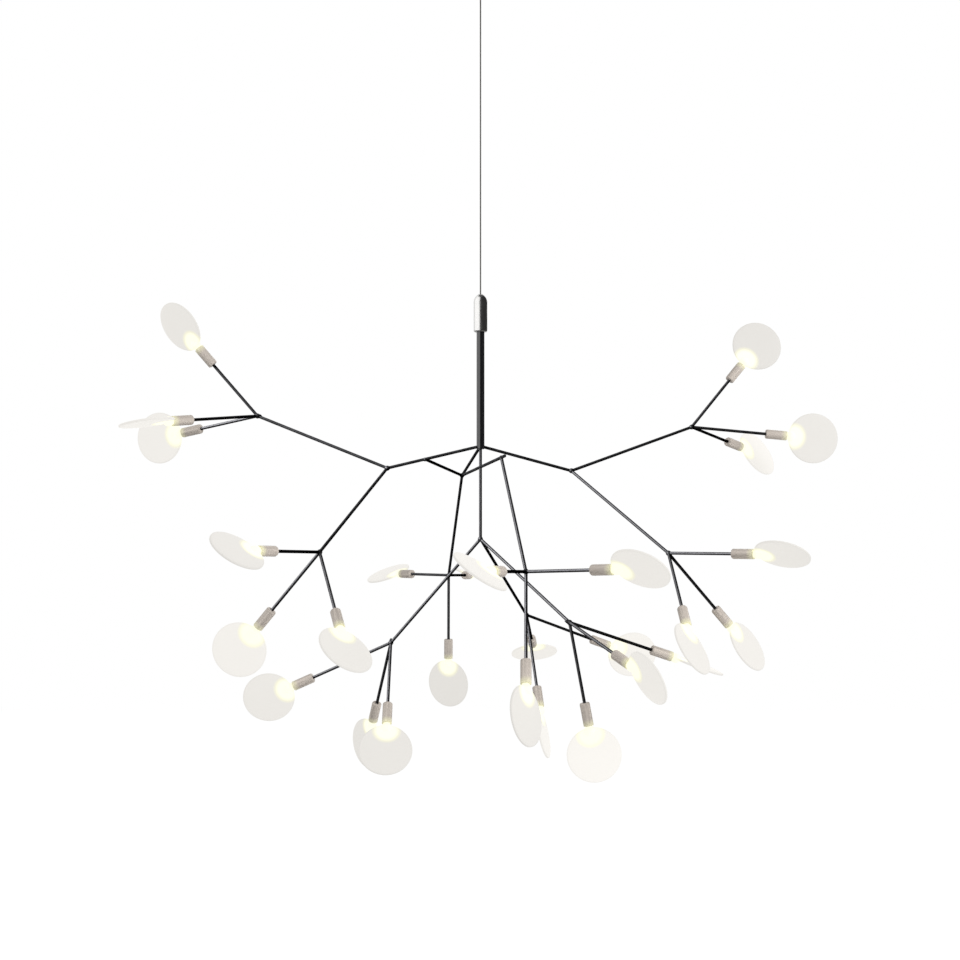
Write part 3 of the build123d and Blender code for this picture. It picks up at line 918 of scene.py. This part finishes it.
class CHANDELIER_OT_welds(bpy.types.Operator):
    """Lay a weld over every place where rods meet"""

    bl_idname = "chandelier.welds"
    bl_label = "Welds"

    def execute(self, context):
        settings = context.scene.chandelier.rod
        finish = blackened_finish("rod_coat_weld", tuple(settings.tint), grain=1500.0, depth=0.000008)
        knots = {twig: twig_knot(twig) for twig in TWIGS}
        nodes = self.nodes(settings)
        for name, (size, others) in WELDS.items():
            ends = [
                knots[other][0] if other == name or other not in nodes else nodes[other] for other in others
            ]
            ways = unit(np.array(ends) - nodes[name])
            reach = np.full(len(ways), settings.web)
            points = self.bead(nodes[name], ways, reach, size * settings.knot_radius)
            self.add_weld(name, points, finish)
        for twig, (knot, ways) in knots.items():
            root = next(name for name, (_, others) in WELDS.items() if twig in others)
            ways = [*ways, unit(nodes[root] - knot)]
            reach = [settings.web] * len(ways)
            if twig in STUBS:
                reach.append(settings.stub)
                ways.append(-ways[STUBS[twig] - 1])
            points = self.bead(knot, np.array(ways), np.array(reach), settings.knot_radius)
            self.add_weld(twig, points, finish)
        return {"FINISHED"}

    @staticmethod
    def add_weld(name, points, finish):
        """A weld's piece, on which the rods' sheen falls too."""
        faces = capped_faces(BEAD_ROWS, BEAD_COLUMNS)
        weld = add_piece(f"weld_{name}", points, faces, "lamp", finish)
        bpy.data.collections[SHEEN_ON].objects.link(weld)

    @staticmethod
    def nodes(settings):
        """Where the arms are welded: their ends less a knot's radius, and the welds along the rods."""
        hub, low_end = rod_ends("drop_rod")
        nodes = {"hub": hub, "low": low_end + (0.0, 0.0, settings.knot_radius)}
        for name in ("left", "right", "back"):
            inner, outer = rod_ends(f"{name}_arm")
            nodes[name] = outer - unit(outer - inner) * settings.knot_radius
        inner, outer = rod_ends("front_arm")
        along = unit(outer - inner)
        nodes["front"] = outer - along * settings.overrun
        nodes["front_end"] = outer
        nodes["crossing"] = inner - along * (inner[:2] @ along[:2]) / (along[:2] @ along[:2])
        nodes["tie"] = hub + unit(nodes["left"] - hub) * settings.tie_reach
        return nodes

    @staticmethod
    def bead(knot, ways, reach, size):
        """A weld round a knot: a ball that swells towards each rod.

        Its radius is the ball's size and a thin skin, plus each rod's reach times exp(f (cos a - 1)), with f
        the webs' focus and a the angle from that rod.
        """
        lift = np.linspace(-math.pi / 2 + POLE_GAP, math.pi / 2 - POLE_GAP, BEAD_ROWS)[:, None]
        turn = np.linspace(0, 2 * math.pi, BEAD_COLUMNS, endpoint=False)[None, :]
        level = np.cos(lift)
        ball = np.stack((level * np.cos(turn), level * np.sin(turn), np.sin(lift) + 0 * turn), -1)
        swell = np.exp(WEB_FOCUS * (ball @ ways.T - 1)) @ reach
        radius = size + WELD_SKIN + swell
        return with_poles(knot + ball * radius[..., None])


class CHANDELIER_OT_frame_finish(bpy.types.Operator):
    """Blacken the rods, coat the stem and give the cap its satin nickel"""

    bl_idname = "chandelier.frame_finish"
    bl_label = "Frame finish"

    def execute(self, context):
        settings = context.scene.chandelier.rod
        paint(ROD_NODES, blackened_finish("rod_coat", tuple(settings.tint), grain=2600.0, depth=0.000006))
        gloss = {"grain": 2000.0, "depth": 0.000005, "roughness": (0.1, 0.16), "specular": 1.0}
        paint(["stem_tube", "hub_plug"], coated_finish("stem_coat", tuple(settings.stem_tint), **gloss))
        paint(["stem_cap"], turned_metal_finish("satin_nickel", tuple(settings.cap_tint), (0.26, 0.34)))
        return {"FINISHED"}


class CHANDELIER_OT_fitting_finish(bpy.types.Operator):
    """Finish the ceiling fitting and the pieces inside"""

    bl_idname = "chandelier.fitting_finish"
    bl_label = "Ceiling fitting finish"

    def execute(self, context):
        settings = context.scene.chandelier.fitting
        coat = coated_finish("canopy_coat", tuple(settings.canopy_tint), grain=1400.0, depth=0.00002)
        paint(["canopy", "cable_gland"], coat)
        steel = turned_metal_finish("plain_steel", tuple(settings.steel_tint), (0.3, 0.5))
        paint(["ceiling_plate", "canopy_screws", "gland_nut", "cable_stops"], steel)
        paint(["led_driver"], moulded_finish("driver_case", tuple(settings.driver_tint), roughness=0.5))
        paint(["light_sources"], moulded_finish("light_board", tuple(settings.board_tint), roughness=0.35))
        return {"FINISHED"}


class CHANDELIER_PT_panel(bpy.types.Panel):
    """Sidebar panel with the chandelier's settings and steps"""

    bl_idname = "CHANDELIER_PT_panel"
    bl_label = "Chandelier"
    bl_space_type = "VIEW_3D"
    bl_region_type = "UI"
    bl_category = "Chandelier"

    def draw(self, context):
        layout = self.layout
        for step in STEPS:
            layout.operator(step.bl_idname)
        for group in ("leaf", "sleeve", "rod", "cable", "fitting", "stage"):
            settings = getattr(context.scene.chandelier, group)
            box = layout.box()
            box.label(text=group.capitalize())
            for name in settings.bl_rna.properties.keys():
                if name not in ("rna_type", "name"):
                    box.prop(settings, name)


STEPS = (
    CHANDELIER_OT_stage,
    CHANDELIER_OT_cable,
    CHANDELIER_OT_leaves,
    CHANDELIER_OT_sleeves,
    CHANDELIER_OT_welds,
    CHANDELIER_OT_frame_finish,
    CHANDELIER_OT_fitting_finish,
)
CLASSES = (
    LeafSettings,
    SleeveSettings,
    RodSettings,
    CableSettings,
    FittingSettings,
    StageSettings,
    ChandelierSettings,
    *STEPS,
    CHANDELIER_PT_panel,
)


def register():
    for cls in CLASSES:
        bpy.utils.register_class(cls)
    bpy.types.Scene.chandelier = PointerProperty(type=ChandelierSettings)


def unregister():
    del bpy.types.Scene.chandelier
    for cls in reversed(CLASSES):
        bpy.utils.unregister_class(cls)


def main():
    """Register the add-on and run its steps in order."""
    register()
    bpy.ops.chandelier.stage()
    bpy.ops.chandelier.cable()
    bpy.ops.chandelier.leaves()
    bpy.ops.chandelier.sleeves()
    bpy.ops.chandelier.welds()
    bpy.ops.chandelier.frame_finish()
    bpy.ops.chandelier.fitting_finish()


if __name__ == "__main__":
    main()
